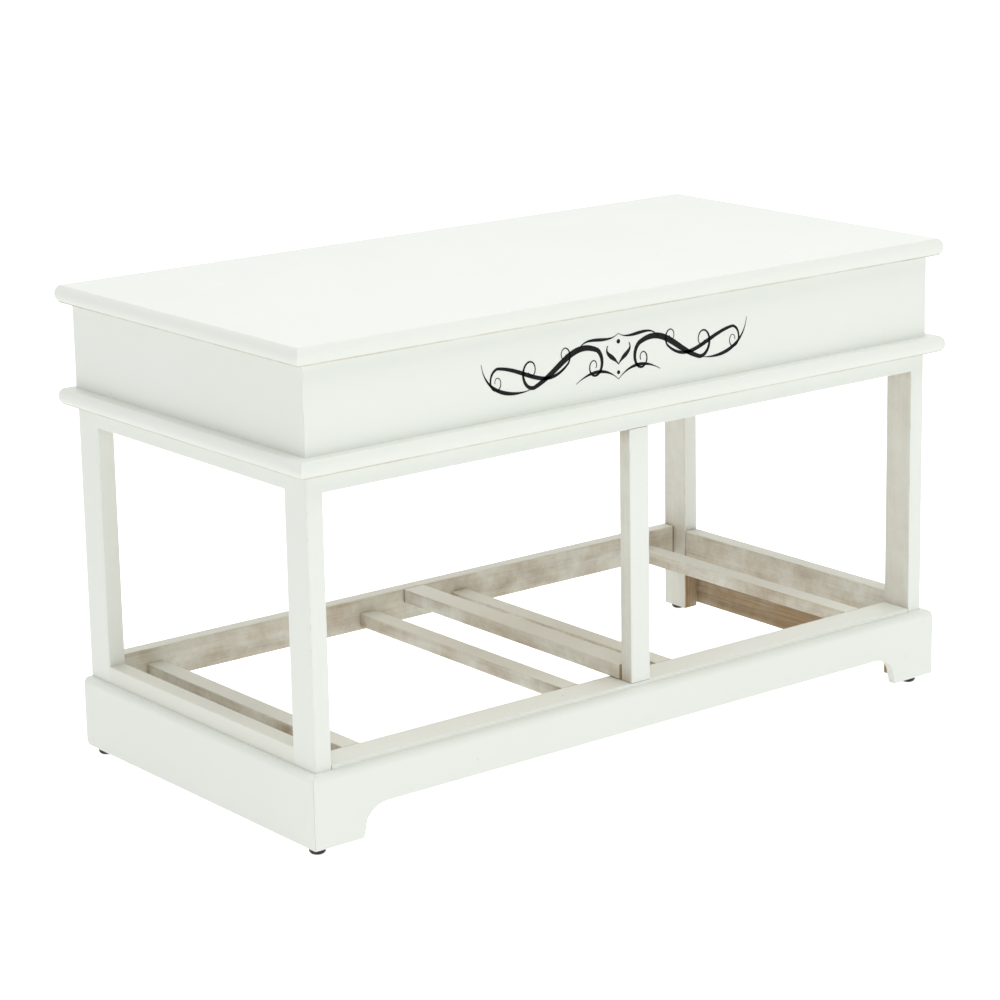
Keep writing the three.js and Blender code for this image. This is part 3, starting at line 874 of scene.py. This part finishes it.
def slab_ring(i, j, across, deep):
    """Where the border point (i, j) of a grid comes in the ring round it."""
    if j == 0:
        return i
    if i == across:
        return across + j
    if j == deep:
        return 2 * across + deep - i
    return 2 * across + 2 * deep - j


def nosed_slab(name, low, high):
    """A slab with a flat arc on all four sides, mitred at the corners, its flats laid out as grids."""
    across = round((high.x - low.x) / LID_CELL)
    deep = round((high.y - low.y) / LID_CELL)
    border = [(i, 0) for i in range(across)] + [(across, j) for j in range(deep)]
    border += [(i, deep) for i in range(across, 0, -1)] + [(0, j) for j in range(deep, 0, -1)]
    points = []

    def grid_point(i, j, shrink, z, edge=0.0):
        x = low.x + shrink + (high.x - low.x - 2 * shrink) * i / across
        y = low.y + shrink + (high.y - low.y - 2 * shrink) * j / deep
        return (x, y, z, edge)

    profile = nose_profile(high.z - low.z)
    for depth, height, edge in profile:
        points += [grid_point(i, j, depth, low.z + height, edge) for i, j in border]
    faces = ring_faces(len(profile), len(border))
    for z, first_ring in ((low.z, 0), (high.z, (len(profile) - 1) * len(border))):
        inner = len(points)
        points += [grid_point(i, j, profile[0][0], z) for j in range(1, deep) for i in range(1, across)]

        def index(i, j):
            if 0 < i < across and 0 < j < deep:
                return inner + (j - 1) * (across - 1) + i - 1
            return first_ring + slab_ring(i, j, across, deep)

        faces += [(index(i, j), index(i + 1, j), index(i + 1, j + 1), index(i, j + 1))
                  for j in range(deep) for i in range(across)]
    return mesh_object(name, points, faces)


def lid():
    low, high = corners_mm("lid_panel")
    obj = nosed_slab(finished("lid_panel"), low, high)
    sand(obj)
    cut_hinge_seats(obj, "lid")
    record_paint_and_shade(obj, shadow_line_below(low.z))
    soften = obj.modifiers.new("sanded mitres", "BEVEL")
    soften.width = 0.5 * MM
    soften.segments = 3
    soften.limit_method = "ANGLE"
    soften.angle_limit = math.radians(38)
    weight_normals(obj)
    stand_for(obj, "lid_panel", WHITE["x"])


# ==== fittings
def turned_rings(profile, sides, place, direction):
    """Rings round direction from place, one for each (distance, radius). A radius may be a function of the
    angle."""
    turn = Vector(direction).to_track_quat("Z", "Y")
    rings = []
    for distance, radius in profile:
        ring = []
        for k in range(sides):
            a = 2 * math.pi * k / sides
            r = radius(a) if callable(radius) else radius
            local = Vector((r * math.cos(a), r * math.sin(a), distance))
            ring.append((*(Vector(place) + turn @ local), 0.0))
        rings.append(ring)
    return rings


def cross_outline(length, half_width):
    """Radius of a cross recess at an angle."""
    def radius(angle):
        off = (angle + math.pi / 4) % (math.pi / 2) - math.pi / 4
        if abs(math.tan(off)) < half_width / length:
            return length / math.cos(off)
        return half_width / abs(math.sin(off))
    return radius


def recess(top, length, half_width, depth):
    """The end of a screw's profile: the cross cut into its head."""
    return [(top, cross_outline(length, half_width)),
            (top - depth, cross_outline(length * 0.6, half_width * 0.7))]


THREAD = {"pitch": 1.0, "depth": 0.3, "point": 1.6, "start": 1.8, "plain": 4.0, "tip": 0.2}


def threaded(length, radius):
    """The shank's profile from its point to just under the head."""
    pitch, root = THREAD["pitch"], radius - THREAD["depth"]
    profile = [(-length, THREAD["tip"]), (-length + THREAD["point"], root)]
    for k in range(int((length - THREAD["plain"]) / pitch)):
        foot = THREAD["start"] - length + k * pitch
        profile += [(foot, root), (foot + pitch * 0.4, radius), (foot + pitch * 0.6, radius)]
    return profile


def countersunk_screw(node):
    """A hinge screw, flush with its leaf, with a cross recess."""
    low, high = corners_mm(node)
    centre = (low + high) / 2
    head, shank = (high.x - low.x) / 2, 1.5
    in_lid = "screw_lid" in node
    place = (centre.x, centre.y, low.z if in_lid else high.z)
    profile = threaded(high.z - low.z, shank)
    profile += [(shank - head - 0.2, shank - THREAD["depth"]), (-0.25, head - 0.05), (-0.08, head - 0.02),
                (0.0, head - 0.15)]
    profile += recess(0.0, 1.9, 0.42, 1.1)
    direction = (0, 0, -1) if in_lid else (0, 0, 1)
    obj = loft(finished(node), turned_rings(profile, 48, place, direction))
    weight_normals(obj)
    stand_for(obj, node, STEEL)


STAY_SCREW = 9.0  # length


def pan_screw(name, place, direction, body, head=3.2, height=1.7):
    """A small pan-head screw that holds a stay."""
    profile = threaded(STAY_SCREW, 1.3)
    profile += [(-0.02, 1.1), (0.0, head - 0.1), (0.12, head)]
    flat = 1.9
    for k in range(1, 7):
        a = math.pi / 2 * k / 6
        profile.append((0.35 + (height - 0.35) * math.sin(a), flat + (head - flat) * math.cos(a)))
    profile += recess(height, 1.6, 0.38, 1.0)
    new_steel(loft(name, turned_rings(profile, 48, place, direction)), body)


def flush_screw(name, place, direction, body):
    """A small countersunk screw under the slider's path."""
    profile = threaded(STAY_SCREW, 1.2)
    profile += [(-1.2, 0.9), (-0.15, 2.4), (0.0, 2.3)] + recess(0.0, 1.5, 0.36, 0.8)
    new_steel(loft(name, turned_rings(profile, 48, place, direction)), body)


def new_steel(obj, body):
    weight_normals(obj)
    obj.data.materials.append(STEEL)
    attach(obj, body)


def stay_screws():
    hinge = Vector(next(j for j in frame["joints"] if j["name"] == "lid_hinge")["pos_m"]) / MM
    fall = math.radians(STAY["angle"])
    for side, sign in SIDES.items():
        track_low, track_high = corners_mm(f"stay_track_{side}")
        back = track_high.x if sign > 0 else track_low.x
        face = track_low.x if sign > 0 else track_high.x
        inwards = (-sign, 0, 0)
        for kind, distance in (("rear", STAY["near_screw"]), ("front", STAY["far_screw"])):
            y = hinge.y - distance * math.cos(fall)
            z = hinge.z - distance * math.sin(fall)
            name = f"screw_stay_track_{side}_{kind}"
            if kind == "rear":
                flush_screw(name, (back - sign * (STAY["web"] - 0.02), y, z), inwards, "root")
            else:
                pan_screw(name, (face, y, z), inwards, "root", head=2.9, height=1.2)
        low, high = corners_mm(f"stay_bracket_{side}")
        x = low.x + 8 if sign > 0 else high.x - 8
        for number, offset in enumerate((-10, 10), 1):
            place = (x, (low.y + high.y) / 2 + offset, high.z - 2)
            pan_screw(f"screw_stay_bracket_{side}_{number}", place, (0, 0, -1), "lid")


def dress_steel(node):
    """A CAD fitting keeps its shape; its edges are broken and its round faces shade smooth."""
    obj = frame["nodes"][node]
    obj.data.materials.clear()
    obj.data.materials.append(STEEL)
    obj.data.polygons.foreach_set("use_smooth", [True] * len(obj.data.polygons))
    weld = obj.modifiers.new("weld", "WELD")
    weld.merge_threshold = 0.005 * MM
    flat = obj.modifiers.new("flat faces", "DECIMATE")
    flat.decimate_type = "DISSOLVE"
    flat.angle_limit = math.radians(0.5)
    bevel = obj.modifiers.new("broken edges", "BEVEL")
    bevel.width = 0.15 * MM
    bevel.segments = 2
    bevel.limit_method = "ANGLE"
    bevel.angle_limit = math.radians(35)
    weight_normals(obj)


def fittings():
    for side in SIDES:
        for kind in ("fixed", "lid"):
            dress_steel(f"hinge_leaf_{kind}_{side}")
            for number in (1, 2):
                countersunk_screw(f"screw_{kind}_{side}_{number}")
        dress_steel(f"hinge_pin_{side}")
        for part in ("track", "arm", "slider", "bracket"):
            dress_steel(f"stay_{part}_{side}")
    stay_screws()


# ==== printed flourish on the chest's front
CURVE_STEPS = 60


def spiral(centre, outer, inner, start, turn):
    points = []
    for k in range(CURVE_STEPS + 1):
        share = k / CURVE_STEPS
        radius = outer * (inner / outer) ** share
        a = math.radians(start + turn * share)
        points.append((centre[0] + radius * math.cos(a), centre[1] + radius * math.sin(a)))
    return points


def bridge(start, end, leaving, arriving, pull):
    """A smooth curve between two points with the given headings in degrees."""
    reach = math.dist(start, end) * pull
    a, b = math.radians(leaving), math.radians(arriving)
    points = []
    for k in range(CURVE_STEPS + 1):
        t = k / CURVE_STEPS
        weights = (2 * t**3 - 3 * t**2 + 1, t**3 - 2 * t**2 + t, 3 * t**2 - 2 * t**3, t**3 - t**2)
        xs = (start[0], reach * math.cos(a), end[0], reach * math.cos(b))
        ys = (start[1], reach * math.sin(a), end[1], reach * math.sin(b))
        points.append((sum(w * x for w, x in zip(weights, xs)), sum(w * y for w, y in zip(weights, ys))))
    return points


def scroll(first, second, leave, arrive, pull):
    """From the heart of one spiral out and over to the heart of another. Each spiral is (centre, radius,
    spin, turns, heart)."""
    centre, radius, spin, turns, heart = first
    out = spiral(centre, radius, radius * heart, leave, -spin * 360 * turns)[::-1]
    centre, radius, spin_in, turns, heart = second
    back = spiral(centre, radius, radius * heart, arrive, spin_in * 360 * turns)
    middle = bridge(out[-1], back[0], leave + spin * 90, arrive + spin_in * 90, pull)
    return out[:-1] + middle + back[1:]


def pen_widths(points, thin, thick, peak):
    """The pen's width along a stroke: thin at both ends and thick at peak, a share of its length."""
    lengths = [0.0]
    for p, q in zip(points, points[1:]):
        lengths.append(lengths[-1] + math.dist(p, q))
    widths = []
    for length in lengths:
        share = length / lengths[-1]
        t = share / peak if share < peak else (1 - share) / (1 - peak)
        widths.append(thin + (thick - thin) * t * t * (3 - 2 * t))
    return widths


FLOURISH = {"middle_x": -26.0, "middle_z": 412.0, "tall": 1.3, "bold": 1.45, "sunk": 0.3, "proud": 0.2}
STROKES = (
    (scroll(((30, -4), 12, -1, 1.3, 0.22), ((106, 1), 13, 1, 1.25, 0.22), 110, 255, 1.25), 0.6, 4.2, 0.46),
    (scroll(((66, 8), 8, 1, 1.2, 0.24), ((146, -3), 10, -1, 1.3, 0.24), 235, 95, 1.2), 0.45, 2.8, 0.5),
    (bridge((0, -17), (52, -15), 35, -25, 1.1), 0.35, 2.2, 0.5),
    (bridge((0, 17), (50, 8), -30, -60, 1.0), 0.35, 2.2, 0.45),
    (bridge((0, -6), (13, 9), 50, 130, 1.3), 0.6, 3.0, 0.45),
    (bridge((104, -12), (164, 12), -10, 80, 1.1), 0.35, 2.6, 0.45),
)
DOTS = ((11, 1.5), (-12, 1.3))  # height and radius, on the middle line


def stroke_rings(points, widths, mirror, face):
    rings = []
    for i, ((x, z), width) in enumerate(zip(points, widths)):
        x0, z0 = points[max(i - 1, 0)]
        x1, z1 = points[min(i + 1, len(points) - 1)]
        across = Vector((z0 - z1, x1 - x0)).normalized() * width / 2
        ring = []
        for side, y in ((-1, face + FLOURISH["sunk"]), (-1, face - FLOURISH["proud"]),
                        (1, face - FLOURISH["proud"]), (1, face + FLOURISH["sunk"])):
            px = FLOURISH["middle_x"] + mirror * (x + side * across.x)
            ring.append((px, y, FLOURISH["middle_z"] + z + side * across.y, 0.0))
        rings.append(ring)
    return rings


def flourish():
    face = corners_mm("chest_front")[0].y
    parts = []
    for outline, thin, thick, peak in STROKES:
        points = [(x, z * FLOURISH["tall"]) for x, z in outline]
        widths = pen_widths(points, thin * FLOURISH["bold"], thick * FLOURISH["bold"], peak)
        for mirror in (-1, 1):
            parts.append(loft("stroke", stroke_rings(points, widths, mirror, face)))
    for height, radius in DOTS:
        place = (FLOURISH["middle_x"], face, FLOURISH["middle_z"] + height * FLOURISH["tall"])
        radius *= FLOURISH["bold"]
        profile = [(-FLOURISH["sunk"], radius), (FLOURISH["proud"], radius)]
        parts.append(loft("dot", turned_rings(profile, 32, place, (0, -1, 0))))
    whole = bmesh.new()
    for part in parts:
        whole.from_mesh(part.data)
        bpy.data.objects.remove(part)
    mesh = bpy.data.meshes.new("printed_flourish")
    whole.to_mesh(mesh)
    whole.free()
    obj = bpy.data.objects.new("printed_flourish", mesh)
    bpy.context.scene.collection.objects.link(obj)
    mesh.polygons.foreach_set("use_smooth", [False] * len(mesh.polygons))
    mesh.materials.append(PRINT)
    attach(obj, "root")


# ==== stage
CAMERA = {"azimuth": -38.911, "elevation": 13.76, "roll": -0.856, "distance": 3.1701, "lens": 112.34,
          "target": (0.045474, 0.0, 0.273818), "shift": (-0.05, -0.05)}


def make_camera():
    azimuth, elevation = math.radians(CAMERA["azimuth"]), math.radians(CAMERA["elevation"])
    back = Vector((math.sin(azimuth) * math.cos(elevation), -math.cos(azimuth) * math.cos(elevation),
                   math.sin(elevation)))
    right = (-back).cross(Vector((0, 0, 1))).normalized()
    up = right.cross(-back)
    roll = math.radians(CAMERA["roll"])
    side = right * math.cos(roll) + up * math.sin(roll)
    top = up * math.cos(roll) - right * math.sin(roll)
    data = bpy.data.cameras.new("camera")
    data.sensor_width = 36.0
    data.lens = CAMERA["lens"]
    data.shift_x, data.shift_y = CAMERA["shift"]
    data.clip_end = 100.0
    camera = bpy.data.objects.new("camera", data)
    bpy.context.scene.collection.objects.link(camera)
    turn = Matrix((side, top, back)).transposed().to_4x4()
    camera.matrix_world = Matrix.Translation(Vector(CAMERA["target"]) + back * CAMERA["distance"]) @ turn
    bpy.context.scene.camera = camera


def area_light(name, place, target, size, power, colour):
    data = bpy.data.lights.new(name, "AREA")
    data.shape = "RECTANGLE"
    data.size, data.size_y = size
    data.energy = power
    data.color = colour
    light = bpy.data.objects.new(name, data)
    bpy.context.scene.collection.objects.link(light)
    light.location = place
    light.rotation_mode = "QUATERNION"
    light.rotation_quaternion = (Vector(target) - Vector(place)).to_track_quat("-Z", "Y")


SKY = {"seen": 0.985, "sides": 0.5, "behind": 1.2}  # strengths: to the camera, and as light on the bench


def studio():
    """A white backdrop behind, darker surroundings on the other sides, a large softbox high up in front and
    a weak one low down."""
    world = bpy.data.worlds.new("studio")
    bpy.context.scene.world = world
    world.use_nodes = True
    tree = world.node_tree
    background = tree.nodes["Background"]
    background.inputs["Color"].default_value = (1.0, 1.0, 0.995, 1.0)
    direction = tree.nodes.new("ShaderNodeTexCoord").outputs["Generated"]
    split = tree.nodes.new("ShaderNodeSeparateXYZ")
    tree.links.new(direction, split.inputs[0])
    light = tree.nodes.new("ShaderNodeMapRange")
    limits = {"From Min": 0.0, "From Max": 0.7, "To Min": SKY["sides"], "To Max": SKY["behind"]}
    for socket, value in limits.items():
        light.inputs[socket].default_value = value
    tree.links.new(split.outputs["Y"], light.inputs["Value"])
    choice = tree.nodes.new("ShaderNodeMix")
    tree.links.new(tree.nodes.new("ShaderNodeLightPath").outputs["Is Camera Ray"], choice.inputs[0])
    tree.links.new(light.outputs[0], choice.inputs[2])
    choice.inputs[3].default_value = SKY["seen"]
    tree.links.new(choice.outputs[0], background.inputs["Strength"])
    area_light("softbox_top", (0.1, -1.0, 3.1), (0, 0, 0.45), (2.0, 2.0), 36, (1.0, 0.985, 0.985))
    area_light("softbox_front", (-0.4, -3.2, 0.9), (0, 0, 0.25), (2.6, 1.4), 12, (0.93, 1.0, 1.0))


FLOOR_GLOW = {"seen": 0.82, "on_bench": 0.38}  # the floor is lit up white, but lights the bench less
FLOOR_HALF = 60.0  # metres


def floor():
    corners = [(x * FLOOR_HALF, y * FLOOR_HALF, 0) for x, y in ((-1, -1), (1, -1), (1, 1), (-1, 1))]
    mesh = bpy.data.meshes.new("studio_floor")
    mesh.from_pydata(corners, [], [(0, 1, 2, 3)])
    plane = bpy.data.objects.new("studio_floor", mesh)
    bpy.context.scene.collection.objects.link(plane)
    shader = Shader("studio_floor")
    shader.bsdf.inputs["Base Color"].default_value = (0.85, 0.85, 0.85, 1.0)
    shader.bsdf.inputs["Roughness"].default_value = 0.9
    shader.bsdf.inputs["Specular IOR Level"].default_value = 0.0
    shader.bsdf.inputs["Emission Color"].default_value = (1.0, 1.0, 0.998, 1.0)
    seen = shader.out("LightPath", socket=0)
    glow = shader.total(FLOOR_GLOW["on_bench"], (seen, FLOOR_GLOW["seen"] - FLOOR_GLOW["on_bench"]))
    shader.link(glow, "Emission Strength")
    mesh.materials.append(shader.material)


make_camera()
studio()
floor()

for row in ("front", "rear"):
    for side in SIDES:
        corner_post(row, side)
        glide(row, side)

plain_board("post_front_centre", "z", WHITE["z"], fill=(-0.1, GAP), reach=centre_post_paint_and_shade)
plain_board("apron_front", "x", WHITE["x"], fill=(FLUSH, FLUSH))
plain_board("apron_rear", "x", WHITE["x"], fill=(FLUSH, FLUSH))
plain_board("rail_front", "x", WHITE["x"])
plain_board("rail_rear", "x", WASHED["x"], fill=(OPEN, OPEN), reach=wash_reach, worn=True)
plain_board("divider_rail", "y", WASHED["y"], fill=(OPEN, OPEN), reach=wash_reach, worn=True)
for side, sign in SIDES.items():
    plain_board(f"apron_{side}", "y", WHITE["y"], fill=(FLUSH, FLUSH))
    rear_fill = FLUSH if side == "left" else OPEN
    plain_board(f"rail_{side}", "y", WASHED["y"], fill=(FLUSH, rear_fill), reach=side_rail_reach(sign))
    plain_board(f"slat_outer_{side}", "y", WASHED["y"], reach=wash_reach)
    plain_board(f"slat_inner_{side}", "y", WASHED["y"], reach=wash_reach)
    plain_board(f"lid_batten_{side}", "y", WHITE["y"])
    plinth_side(side)
plinth_front()
moulding()
chest()
plain_board("chest_floor", "x", PLYWOOD, ease=0.25)
lid()
fittings()
flourish()

scene = bpy.context.scene
scene.view_settings.view_transform = "Standard"
scene.view_settings.look = "None"
